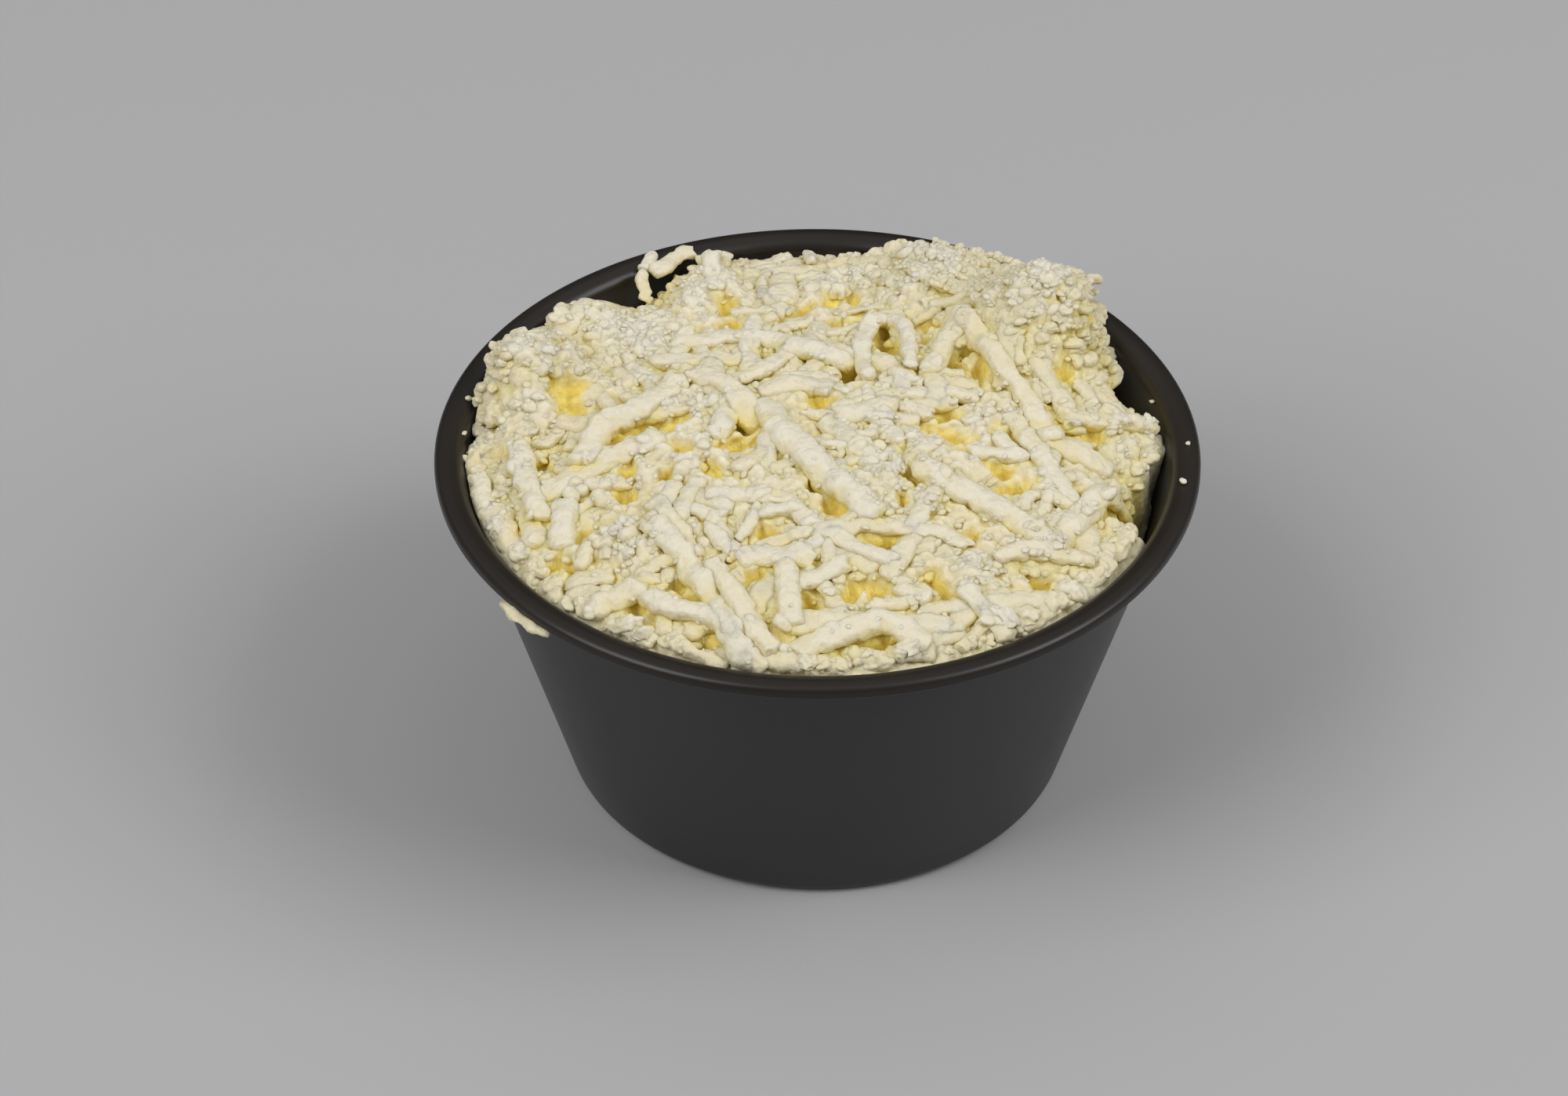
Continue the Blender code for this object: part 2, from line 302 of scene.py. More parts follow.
for u, v, radius, depth in NOTCHES:
    x, y = on_level(u, v, CUP_HEIGHT - 0.5)
    far = math.hypot(x, y)
    outward, across = (GX * x + GY * y) / far - far, (GY * x - GX * y) / far
    d2 = (np.minimum(outward, 0.0) ** 2 + across ** 2) / (radius + 0.3) ** 2 * (1 + 0.4 * uneven)
    pit = np.exp(-d2 * d2)
    TARGET -= depth * pit
    CORE -= (depth + 0.5) * pit
HEAP = np.where(GR < inner_wall(28.0), CORE, -50.0)
HEAP = np.maximum(HEAP, rim_height(GR))


# ---- strands ----------------------------------------------------------------
class Strand:
    __slots__ = ("x", "y", "z", "left", "right", "thick", "roll", "seed", "tint", "sides", "step")


def drape(support, step, radius):
    """Lowest line over the support that a strand of that least bend can follow."""
    b = support.copy()
    give = step * step / (2 * radius)
    for _ in range(80):
        new = b.copy()
        new[1:-1] = np.maximum(b[1:-1], 0.5 * (b[:-2] + b[2:]) - give)
        if len(b) > 3:
            new[0] = max(b[0], 2 * b[1] - b[2] - 2 * give)
            new[-1] = max(b[-1], 2 * b[-2] - b[-3] - 2 * give)
        if np.max(new - b) < 2e-3:
            break
        b = new
    if len(b) > 4:
        padded = np.concatenate([[2 * b[0] - b[1]], b, [2 * b[-1] - b[-2]]])
        b = 0.25 * padded[:-2] + 0.5 * padded[1:-1] + 0.25 * padded[2:]
    return b


def lay(x, y, width, step, limp, sink):
    """Rest a strand along (x, y) on the heap: its underside's height, and its roll."""
    tx, ty = np.gradient(x), np.gradient(y)
    n = np.hypot(tx, ty) + 1e-9
    sx, sy = -ty / n, tx / n
    offsets = np.array([-0.42, -0.21, 0.0, 0.21, 0.42]) * width
    under = np.stack([sample(HEAP, x + o * sx, y + o * sy) for o in offsets])
    support = (1 - sink) * under.max(0) + sink * np.clip(under, under.max(0) - 2.0, None).mean(0)
    z = drape(support, step, limp)
    tilt = np.clip((under[4] + under[3] - under[0] - under[1]) / (1.26 * width), -0.6, 0.6)
    if len(tilt) > 5:
        tilt = np.convolve(np.pad(tilt, 2, mode="edge"), np.ones(5) / 5, mode="valid")
    return z, 0.55 * np.arctan(tilt)


def stamp(x, y, z, half, thick):
    """Add a strand to the height map."""
    margin = half.max() + CELL
    i0 = int((x.min() - margin + HALF) / CELL)
    i1 = int((x.max() + margin + HALF) / CELL) + 2
    j0 = int((y.min() - margin + HALF) / CELL)
    j1 = int((y.max() + margin + HALF) / CELL) + 2
    i0, j0, i1, j1 = max(i0, 0), max(j0, 0), min(i1, N_CELLS), min(j1, N_CELLS)
    if i1 <= i0 or j1 <= j0:
        return
    bx, by = GX[i0:i1, j0:j1], GY[i0:i1, j0:j1]
    best = np.full(bx.shape, 1e9)
    top = np.full(bx.shape, -50.0)
    for k in range(len(x)):
        d2 = ((bx - x[k]) ** 2 + (by - y[k]) ** 2) / (half[k] * half[k])
        nearer = (d2 < best) & (d2 < 1.0)
        best = np.where(nearer, d2, best)
        rise = z[k] + thick[k] * (0.45 + 0.55 * np.sqrt(np.clip(1 - d2, 0, None)))
        top = np.where(nearer, rise, top)
    HEAP[i0:i1, j0:j1] = np.maximum(HEAP[i0:i1, j0:j1], top)


def wander(rng, length, step, curl, sway):
    """A flat path of that length, bending at random, centred on the origin."""
    count = max(5, int(round(length / step)) + 1)
    s = np.linspace(0, length, count)
    turn = rng.uniform(-curl, curl) * s
    turn += rng.uniform(0, sway) * np.sin(2 * math.pi * s / rng.uniform(9, 22) + rng.uniform(0, 6.28))
    x = np.concatenate([[0], np.cumsum(np.cos(turn[:-1]) * np.diff(s))])
    y = np.concatenate([[0], np.cumsum(np.sin(turn[:-1]) * np.diff(s))])
    return x - x.mean(), y - y.mean(), length / (count - 1)


def wall_limit(z):
    """Radius that the cheese may reach at a height without going into the cup's wall."""
    return inner_wall(np.minimum(z, 29.3)) - 0.12


LEANS = ((46.0, 15.0, 2.3), (66.0, 10.0, 1.3), (186.0, 14.0, 0.9))


def lean(x, y):
    """Extra reach over the rim, in mm, where the heap hangs out over it."""
    angle = np.degrees(np.arctan2(y, x))
    out = np.zeros(np.shape(x))
    for centre, spread, reach in LEANS:
        d = np.abs((angle - centre + 180) % 360 - 180)
        out = np.maximum(out, reach * np.clip((spread * 1.4 - d) / (spread * 0.5), 0, 1))
    return out


strands = []


def keep(x, y, z, roll, width, thick, rng, sides, step):
    """Record a strand for meshing, and put it on the height map."""
    s = Strand()
    count = len(x)
    s.x, s.y, s.roll, s.step = x, y, roll, step
    s.seed = int(rng.integers(1, 1 << 30))
    along = np.arange(count) * step
    line = np.stack([along, np.full(count, s.seed % 977 * 1.7), np.zeros(count)], 1)
    s.left = 0.5 * width * (1 + 0.12 * noise3(line, 2.4, 11)) + 0.13 * noise3(line, 0.7, 12)
    s.right = 0.5 * width * (1 + 0.12 * noise3(line, 2.1, 13)) + 0.13 * noise3(line, 0.7, 14)
    s.thick = thick * (1 + 0.15 * noise3(line, 3.0, 15) + 0.08 * noise3(line, 1.1, 16))
    s.z = z
    s.tint = float(rng.random())
    s.sides = sides
    strands.append(s)
    ease = np.minimum(1.0, (np.minimum(along, along[-1] - along) + 0.25 * width) / (0.5 * width))
    stamp(x, y, z, 0.5 * (s.left + s.right) * np.sqrt(ease) + 0.05, s.thick)


def within(x, y, z, width):
    """Push a path back inside the cup's wall, and no farther over the rim than the heap leans there."""
    r = np.hypot(x, y) + 1e-9
    most = np.where(z > CUP_HEIGHT - 0.1, 28.6 + lean(x, y), wall_limit(z)) - 0.5 * width
    pull = np.minimum(1.0, most / r)
    return x * pull, y * pull


def near_well(x, y, half):
    """Would it lie across the mouth of a well?"""
    d = np.hypot(x[:, None] - WELL[None, :, 0], y[:, None] - WELL[None, :, 1])
    return bool((d < 0.8 * WELL[None, :, 2] + 0.6 * half).any())


def scatter(rng, count, length, width, flat, level, tries, ring=None, sides=20, step=0.32, press=0.45,
            curl=0.05, sway=0.22, open_wells=True):
    """Lay strands one by one, each in the lowest of several places.  The cheese is soft: a strand
    whose top would stand more than the level above the heap's outline is pressed into what is there."""
    placed = 0
    whole = 1 - 0.9 * crumbly(GX, GY)
    low, high = ring or (0.0, 27.4)
    here = (GR >= low) & (GR <= high + lean(GX, GY))
    for _ in range(count):
        best = None
        w = rng.uniform(*width)
        th = w * rng.uniform(*flat)
        px, py, st = wander(rng, rng.uniform(*length), step, curl, sway)
        pitch = rng.uniform(-0.06, 0.06) * st * (np.arange(len(px)) - 0.5 * len(px))
        # where the heap is still low is where the next one is most likely to go
        want = np.clip(TARGET + level - 0.5 * th - HEAP, 0.0, 1.5) * here * (1.0 if len(px) * st < 4.5 else whole)
        if want.max() < 0.1:
            break
        chance = np.cumsum(want.ravel() ** 1.5)
        for _ in range(tries):
            cell = min(int(np.searchsorted(chance, rng.random() * chance[-1])), chance.size - 1)
            mx, my = AXIS[cell // N_CELLS], AXIS[cell % N_CELLS]
            turn = rng.uniform(0, 2 * math.pi)
            if ring is not None or math.hypot(mx, my) > 25.5:
                turn = math.atan2(my, mx) + math.pi / 2 + rng.normal(0, 0.45)
            ca, sa = math.cos(turn), math.sin(turn)
            x = px * ca - py * sa + mx
            y = px * sa + py * ca + my
            if open_wells and near_well(x, y, 0.5 * w):
                continue
            rest, roll = lay(x, y, w, st, 4.0, 0.55)
            z = np.minimum(rest - 0.3 * th, sample(TARGET, x, y) + level - th + pitch)
            pressed = (rest - z).mean() - 0.3 * th
            if pressed > press:
                continue
            reach = np.hypot(x, y) + 0.5 * w
            over = np.clip(reach - np.where(z > CUP_HEIGHT - 0.1, 28.6 + lean(x, y), wall_limit(z)), 0, None).max()
            if over > 1.2:
                continue
            cost = pressed + 0.7 * (z + th - sample(TARGET, x, y)).mean() + 0.5 * over
            if best is None or cost < best[0]:
                best = (cost, x, y, z, roll)
        if best is None:
            continue
        _, x, y, z, roll = best
        for _ in range(3):
            z[1:-1] = 0.25 * z[:-2] + 0.5 * z[1:-1] + 0.25 * z[2:]
        x, y = within(x, y, z, w)
        keep(x, y, z, roll, w, th, rng, sides, st)
        placed += 1
    return placed


# Strands that stand out: path in pixels, width and thickness in mm, in the order they lie.
HEROES = [
    ([(728, 774), (770, 760), (822, 737)], 2.7, 1.3),
    ([(820, 735), (855, 768), (905, 800), (972, 846)], 2.3, 1.2),
    ([(740, 578), (768, 545), (812, 510), (868, 474)], 2.8, 1.4),
    ([(905, 716), (925, 735), (955, 778), (986, 822)], 1.9, 1.1),
    ([(836, 660), (866, 690), (905, 742), (957, 828)], 2.3, 1.3),
    ([(1001, 704), (1004, 740), (1012, 786)], 2.1, 1.2),
    ([(1271, 702), (1320, 698), (1391, 709)], 1.9, 0.9),
    ([(1170, 574), (1215, 603), (1275, 638), (1334, 672)], 2.6, 1.5),
    ([(1441, 606), (1405, 630), (1342, 676)], 2.7, 1.4),
    ([(1108, 474), (1096, 436), (1112, 400), (1138, 390), (1158, 412), (1162, 462)], 1.6, 1.0),
    ([(1353, 527), (1415, 530), (1480, 543)], 1.9, 1.2),
    ([(1187, 462), (1207, 424), (1231, 384)], 2.0, 1.2),
    ([(1231, 382), (1262, 436), (1300, 492), (1345, 546)], 2.2, 1.3),
    ([(984, 520), (1012, 548), (1060, 605), (1118, 668)], 3.0, 1.6),
    ([(616, 640), (628, 668), (641, 698)], 2.6, 1.5),
    ([(905, 318), (909, 338), (914, 362)], 1.8, 1.1),
    ([(660, 560), (675, 610), (690, 655)], 2.2, 1.2),
    ([(1010, 820), (1060, 808), (1130, 800), (1185, 812)], 2.4, 1.2),
    ([(1230, 745), (1262, 780), (1290, 800)], 2.0, 1.1),
    ([(880, 470), (925, 480), (965, 520)], 2.3, 1.2),
    ([(1000, 430), (1040, 440), (1080, 450)], 2.2, 1.1),
    ([(600, 600), (606, 640), (612, 672)], 1.8, 1.2),
    ([(1033, 330), (1032, 318), (1033, 308)], 1.0, 0.8),
]


def hero(rng, path, width, thick):
    step = 0.32
    z = CUP_HEIGHT + 3.0
    line = np.array([on_level(u, v, z) for u, v in path])
    for _ in range(3):
        level = sample(HEAP, line[:, 0], line[:, 1]) + thick * 0.8
        level = np.maximum(level, sample(TARGET, line[:, 0], line[:, 1]) - 0.6)
        line = np.array([on_level(u, v, h) for (u, v), h in zip(path, level)])
    # a smooth curve through the points
    t = np.concatenate([[0], np.cumsum(np.hypot(*np.diff(line, axis=0).T))])
    count = max(6, int(t[-1] / step) + 1)
    s = np.linspace(0, t[-1], count)
    x, y = np.interp(s, t, line[:, 0]), np.interp(s, t, line[:, 1])
    for _ in range(12):
        x[1:-1] = 0.25 * x[:-2] + 0.5 * x[1:-1] + 0.25 * x[2:]
        y[1:-1] = 0.25 * y[:-2] + 0.5 * y[1:-1] + 0.25 * y[2:]
    rest, roll = lay(x, y, width, step, 6.0, 0.5)
    outline = sample(TARGET, x, y)
    z = np.clip(rest - 0.2 * thick, outline + 0.25 - thick, outline + 0.6 - thick)
    for _ in range(4):
        z[1:-1] = 0.25 * z[:-2] + 0.5 * z[1:-1] + 0.25 * z[2:]
    x, y = within(x, y, z, width)
    keep(x, y, z, roll, width * 0.88, thick, rng, 22, step)


rng = np.random.default_rng(20)


def report(stage, placed):
    inside = GR < 26.5
    short = (TARGET - HEAP)[inside]
    print(f"{stage}: {placed} placed, {len(strands)} in all, surface below its outline by {short.mean():.2f} mm, "
          f"{np.percentile(short, 10):.2f} to {np.percentile(short, 90):.2f}", file=sys.stderr)


report("edge", scatter(rng, 60, (3, 8), (1.6, 2.5), (0.45, 0.6), -0.1, 8, ring=(24.0, 27.4), press=0.5))
report("short", scatter(rng, 150, (2.4, 5.0), (0.9, 1.6), (0.55, 0.75), -0.05, 8, sides=14, step=0.28, curl=0.14, press=0.5))
report("upper", scatter(rng, 90, (5, 13), (1.6, 2.6), (0.45, 0.6), 0.1, 12, press=0.45))
for path, width, thick in HEROES:
    hero(rng, path, width, thick)


def lay_by_hand(path, heights, width, thick):
    """A scrap at a place of its own: its path in pixels, and the height of its underside along it."""
    z = np.interp(np.linspace(0, 1, len(path)), np.linspace(0, 1, len(heights)), heights)
    x, y = np.array([on_level(u, v, h + 0.5 * thick) for (u, v), h in zip(path, z)]).T
    way, knots = np.linspace(0, len(path) - 1, 13), np.arange(len(path))
    x, y, z = np.interp(way, knots, x), np.interp(way, knots, y), np.interp(way, knots, z)
    keep(x, y, z, np.full(13, 0.2), width, thick, rng, 20, float(np.hypot(np.diff(x), np.diff(y)).mean()))


# across the rim at the back left, against the wall there, and caught under the lip at the front left
lay_by_hand(((836, 347), (848, 339), (862, 330), (875, 322), (885, 317)), (CUP_HEIGHT - 0.05,), 1.5, 0.7)
lay_by_hand(((820, 344), (827, 333), (833, 324)), (CUP_HEIGHT - 0.05,), 1.0, 0.55)
lay_by_hand(((824, 384), (821, 367), (818, 350)), (29.2, 30.1), 1.0, 0.7)
lay_by_hand(((644, 772), (657, 784), (670, 793), (684, 802), (697, 808)), (CUP_HEIGHT - LIP_HEIGHT - 0.45,), 1.0, 0.5)
report("heroes", len(HEROES))


def strand_mesh(s):
    """A closed skin round a strand: flattened, softly square, its edges and ends torn."""
    count = len(s.x)
    pos = np.stack([s.x, s.y, s.z + 0.5 * s.thick], 1)
    tangent = np.gradient(pos, axis=0)
    tangent /= np.linalg.norm(tangent, axis=1, keepdims=True) + 1e-9
    flat_side = np.stack([-tangent[:, 1], tangent[:, 0], np.zeros(count)], 1)
    flat_side /= np.linalg.norm(flat_side, axis=1, keepdims=True) + 1e-9
    normal = np.cross(tangent, flat_side)
    normal *= np.sign(normal[:, 2:3] + 1e-9)
    cr, sr = np.cos(s.roll)[:, None], np.sin(s.roll)[:, None]
    side = flat_side * cr + normal * sr
    up = normal * cr - flat_side * sr
    phi = 2 * math.pi * np.arange(s.sides) / s.sides
    c, q = np.cos(phi), np.sin(phi)
    c = np.sign(c) * np.abs(c) ** 0.85
    q = np.sign(q) * np.abs(q) ** 0.80
    along = np.arange(count) * s.step
    end = np.minimum(along, along[-1] - along)
    # the ends are blunt, and torn
    closing = np.clip((end + 0.05) / (0.26 * (s.left + s.right)), 0, 1)
    closing = np.sqrt(1 - (1 - closing) ** 2) * 0.62 + 0.38
    half = np.where(c[None, :] > 0, s.left[:, None], s.right[:, None]) * closing[:, None]
    high = 0.5 * s.thick[:, None] * (0.45 + 0.55 * closing[:, None])
    ring = (pos[:, None, :] + side[:, None, :] * (c[None, :] * half)[..., None]
            + up[:, None, :] * (q[None, :] * high)[..., None])
    tear = noise3(ring.reshape(-1, 3) + s.seed % 613, 0.8, 24).reshape(count, s.sides)
    tear *= 0.55 * np.clip(1 - end / 1.1, 0, 1)[:, None]
    ring = ring + tangent[:, None, :] * tear[..., None]
    out = side[:, None, :] * c[None, :, None] + up[:, None, :] * q[None, :, None]
    pts = ring.reshape(-1, 3)
    out = out.reshape(-1, 3)
    shift = np.array([(s.seed % 911) * 3.1, (s.seed % 719) * 2.3, 0.0])
    swell = (0.08 * noise3(pts + shift, 1.6, 21) + 0.13 * noise3(pts + shift, 0.8, 22)
             + 0.16 * (lumps3(pts, 1.1, 61) - 0.68) + 0.26 * (lumps3(pts, 0.58, 64) - 0.68))
    pts = pts + out * swell[:, None]
    caps = np.stack([pts[:s.sides].mean(0) - tangent[0] * 0.12 * s.left[0],
                     pts[-s.sides:].mean(0) + tangent[-1] * 0.12 * s.left[-1]])
    pts = np.concatenate([pts, caps])
    k = np.arange(s.sides)
    k1 = (k + 1) % s.sides
    rows = np.arange(count - 1)[:, None] * s.sides
    quads = np.stack([rows + k, rows + k1, rows + s.sides + k1, rows + s.sides + k], -1).reshape(-1, 4)
    first, last = count * s.sides, count * s.sides + 1
    base = (count - 1) * s.sides
    tris = np.concatenate([np.stack([np.full(s.sides, first), k1, k], 1),
                           np.stack([np.full(s.sides, last), base + k, base + k1], 1)])
    return pts, quads, tris


# ---- crumbs -----------------------------------------------------------------
def icosphere(level):
    t = (1 + 5 ** 0.5) / 2
    v = [(-1, t, 0), (1, t, 0), (-1, -t, 0), (1, -t, 0), (0, -1, t), (0, 1, t), (0, -1, -t), (0, 1, -t),
         (t, 0, -1), (t, 0, 1), (-t, 0, -1), (-t, 0, 1)]
    f = [(0, 11, 5), (0, 5, 1), (0, 1, 7), (0, 7, 10), (0, 10, 11), (1, 5, 9), (5, 11, 4), (11, 10, 2),
         (10, 7, 6), (7, 1, 8), (3, 9, 4), (3, 4, 2), (3, 2, 6), (3, 6, 8), (3, 8, 9), (4, 9, 5), (2, 4, 11),
         (6, 2, 10), (8, 6, 7), (9, 8, 1)]
    v = [np.array(p, float) / np.linalg.norm(p) for p in v]
    for _ in range(level):
        middle, new = {}, []

        def mid(a, b):
            key = (min(a, b), max(a, b))
            if key not in middle:
                m = v[a] + v[b]
                v.append(m / np.linalg.norm(m))
                middle[key] = len(v) - 1
            return middle[key]

        for a, b, c in f:
            ab, bc, ca = mid(a, b), mid(b, c), mid(c, a)
            new += [(a, ab, ca), (b, bc, ab), (c, ca, bc), (ab, bc, ca)]
        f = new
    return np.array(v), np.array(f)


BALLS = {level: icosphere(level) for level in (1, 2, 3)}
crumbs = []          # x, y, z, radius, flatness, stretch, turn, seed, tint, level


def add_crumb(rng, x, y, z, radius, level=None, squash=None):
    if level is None:
        level = 2 if radius > 0.5 else 1
    crumbs.append((x, y, z, radius, squash or rng.uniform(0.5, 0.85), rng.uniform(1.0, 1.7),
                   rng.uniform(0, 6.28), int(rng.integers(1, 1 << 30)), float(rng.random()), level))


def drop_crumbs(rng, count, low, high, power, clear, sunk):
    """Crumbs on top of the heap, more of them in some places than in others, stuck in a little."""
    made = 0
    field = noise3(np.stack([GX.ravel(), GY.ravel(), np.zeros(GX.size)], 1), 5.0, 31).reshape(GX.shape)
    while made < count:
        r, a = 27.9 * math.sqrt(rng.random()), rng.uniform(0, 2 * math.pi)
        x, y = r * math.cos(a), r * math.sin(a)
        z = float(sample(HEAP, np.float64(x), np.float64(y)))
        lack = float(sample(TARGET, np.float64(x), np.float64(y))) - z
        chance = 0.25 + 0.3 * float(sample(field, np.float64(x), np.float64(y))) + 0.8 * float(crumbly(x, y))
        room = max(min(1.0, max(0.0, (lack + 0.1) / 0.7)), 0.75 * float(crumbly(x, y)))
        if rng.random() > chance * (0.10 + 0.90 * room):
            made += 0.02
            continue
        size = low + (high - low) * rng.random() ** power
        d = np.hypot(WELL[:, 0] - x, WELL[:, 1] - y) - WELL[:, 2]
        if d.min() < clear * size:
            continue
        if lack > 1.6 or z < CUP_HEIGHT - 2.2 or r + size > float(wall_limit(np.float64(z))) + (0.6 if z > 29.5 else 0.0):
            made += 0.2
            continue
        add_crumb(rng, x, y, z - sunk * size, size)
        if size > 0.3:
            stamp(np.array([x]), np.array([y]), np.array([z - (sunk + 0.6) * size]), np.array([size]), np.array([1.2 * size]))
        made += 1


# Crumbs that still cling to the gratings' edges.
for s in strands:
    for _ in range(int(0.35 * len(s.x) * s.step)):
        k = int(rng.integers(0, len(s.x)))
        hand = -1.0 if rng.random() < 0.5 else 1.0
        tx, ty = s.x[min(k + 1, len(s.x) - 1)] - s.x[max(k - 1, 0)], s.y[min(k + 1, len(s.x) - 1)] - s.y[max(k - 1, 0)]
        n = math.hypot(tx, ty) + 1e-9
        half = s.left[k] if hand > 0 else s.right[k]
        size = rng.uniform(0.16, 0.36)
        x = s.x[k] - hand * ty / n * (half - 0.4 * size)
        y = s.y[k] + hand * tx / n * (half - 0.4 * size)
        z = s.z[k] + s.thick[k] * rng.uniform(0.3, 0.85)
        if math.hypot(x, y) + size < float(wall_limit(np.float64(z))) + float(lean(x, y)):
            add_crumb(rng, x, y, z, size)
for cx, cy, spread in CRUMBLY:                       # clumps of crumbs, in the crumbly patches
    for _ in range(int(0.24 * spread * spread)):
        r, a = spread * math.sqrt(rng.random()), rng.uniform(0, 2 * math.pi)
        x, y, size = cx + r * math.cos(a), cy + r * math.sin(a), rng.uniform(0.8, 1.5)
        z = float(sample(HEAP, np.float64(x), np.float64(y)))
        if math.hypot(x, y) + 0.8 * size > float(wall_limit(np.float64(z))) + 0.6 * float(lean(x, y)):
            continue
        if (np.hypot(WELL[:, 0] - x, WELL[:, 1] - y) - WELL[:, 2]).min() < 0.6 * size or z > float(heap_top(x, y)) + 0.3:
            continue
        add_crumb(rng, x, y, z - 0.55 * size, size, 3)
        stamp(np.array([x]), np.array([y]), np.array([z - 1.1 * size]), np.array([size]), np.array([1.2 * size]))
for k in range(120):                                 # and along the wall, where they make the heap's ragged edge
    a = 2 * math.pi * (k + rng.random()) / 120
    size = rng.uniform(0.55, 1.25)
    reach = 27.9 + 0.7 * float(lean(math.cos(a), math.sin(a))) - 0.8 * size - 0.6 * rng.random()
    x, y = reach * math.cos(a), reach * math.sin(a)
    z = float(sample(HEAP, np.float64(x), np.float64(y)))
    deep = 2.0 if a < 0.9 or a > 5.9 else 3.6       # the gaps along the wall at the right stay open
    if z < CUP_HEIGHT - deep or z > float(heap_top(x, y)) + 0.4 or 2.1 < a < 2.5:
        continue
    add_crumb(rng, x, y, z - 0.42 * size, size, 3)
    stamp(np.array([x]), np.array([y]), np.array([z - 1.1 * size]), np.array([size]), np.array([1.2 * size]))
for _ in range(900):                                 # and down its upright sides
    a = rng.uniform(0, 2 * math.pi)
    out = 28.45 + 0.6 * float(lean(math.cos(a), math.sin(a)))
    top = float(sample(CORE, np.float64(27.9 * math.cos(a)), np.float64(27.9 * math.sin(a))))
    if top < CUP_HEIGHT + 0.4:
        continue
    size = rng.uniform(0.35, 0.8)
    r = out - 0.55 * size
    add_crumb(rng, r * math.cos(a), r * math.sin(a), rng.uniform(CUP_HEIGHT - 0.1, top - 0.1), size, 2)
placed = 0
for _ in range(7000):                                # and on the bare flanks of the gaps along the wall
    r, a = rng.uniform(22.5, 27.7), rng.uniform(0, 2 * math.pi)
    x, y = r * math.cos(a), r * math.sin(a)
    z, east, west, north, south = (float(v) for v in sample(CORE, x + np.array([0, 0.3, -0.3, 0, 0]), y + np.array([0, 0, 0, 0.3, -0.3])))
    if math.hypot(east - west, north - south) < 0.75 or float(sample(HEAP, np.float64(x), np.float64(y))) - z > 0.35:
        continue
    size = rng.uniform(0.4, 0.8)
    if z < CUP_HEIGHT - 7.0 or r + 0.6 * size > float(wall_limit(np.float64(z))) or placed >= 150:
        continue
    if (np.hypot(WELL[:, 0] - x, WELL[:, 1] - y) - WELL[:, 2]).min() < 0.6 * size:
        continue
    add_crumb(rng, x, y, z - 0.1 * size, size, 2 if size > 0.6 else 1)
    stamp(np.array([x]), np.array([y]), np.array([z - 0.8 * size]), np.array([size]), np.array([1.2 * size]))
    placed += 1
report("clumps", len(crumbs))
drop_crumbs(rng, 560, 0.42, 0.85, 1.4, 0.9, 0.40)
report("crumbs", len(crumbs))
drop_crumbs(rng, 1800, 0.18, 0.42, 1.0, 0.6, 0.35)
report("fine crumbs", len(crumbs))

# Crumbs that fell on the rim: pixel place, radius in mm.
for u, v, size in [(598, 508, 0.30), (592, 548, 0.24), (605, 561, 0.46), (1471, 500, 0.34), (1509, 616, 0.30), (1515, 567, 0.2)]:
    x, y = on_level(u, v, CUP_HEIGHT)
    h = float(rim_height(np.array([math.hypot(x, y)]))[0])
    if h < 20.0:
        r = math.hypot(x, y)
        x, y = x * 30.6 / r, y * 30.6 / r
        h = float(rim_height(np.array([30.6]))[0])
    add_crumb(rng, x, y, h + 0.6 * size, size, 2)


def crumb_mesh(c):
    x, y, z, radius, squash, stretch, turn, seed, tint, level = c
    v, f = BALLS[level]
    shift = np.array([(seed % 911) * 3.1, (seed % 719) * 2.3, (seed % 509) * 1.9])
    p = v * (1 + 0.28 * noise3(v + shift, 1.1, 41) + 0.16 * noise3(v + shift, 0.5, 42))[:, None]
    p = p * np.array([stretch, 1.0, squash]) * radius / math.sqrt(stretch)
    ct, st = math.cos(turn), math.sin(turn)
    tip = 0.5 * math.sin(seed)
    cp, sp = math.cos(tip), math.sin(tip)
    p = np.stack([p[:, 0] * cp + p[:, 2] * sp, p[:, 1], -p[:, 0] * sp + p[:, 2] * cp], 1)
    p = np.stack([p[:, 0] * ct - p[:, 1] * st, p[:, 0] * st + p[:, 1] * ct, p[:, 2]], 1)
    p = p + np.array([x, y, z])
    if level == 3:
        p = p + v * (0.60 * (lumps3(p, 1.0, 51) - 0.68) + 0.40 * (lumps3(p, 0.55, 54) - 0.68))[:, None]
    return p, f


def inside_wall(p):
    """Cheese that would reach through the cup's wall is pressed flat against it."""
    r = np.hypot(p[:, 0], p[:, 1]) + 1e-9
    pull = np.where(p[:, 2] < 29.3, np.minimum(1.0, (inner_wall(np.minimum(p[:, 2], 29.3)) - 0.06) / r), 1.0)
    return p * np.stack([pull, pull, np.ones(len(p))], 1)
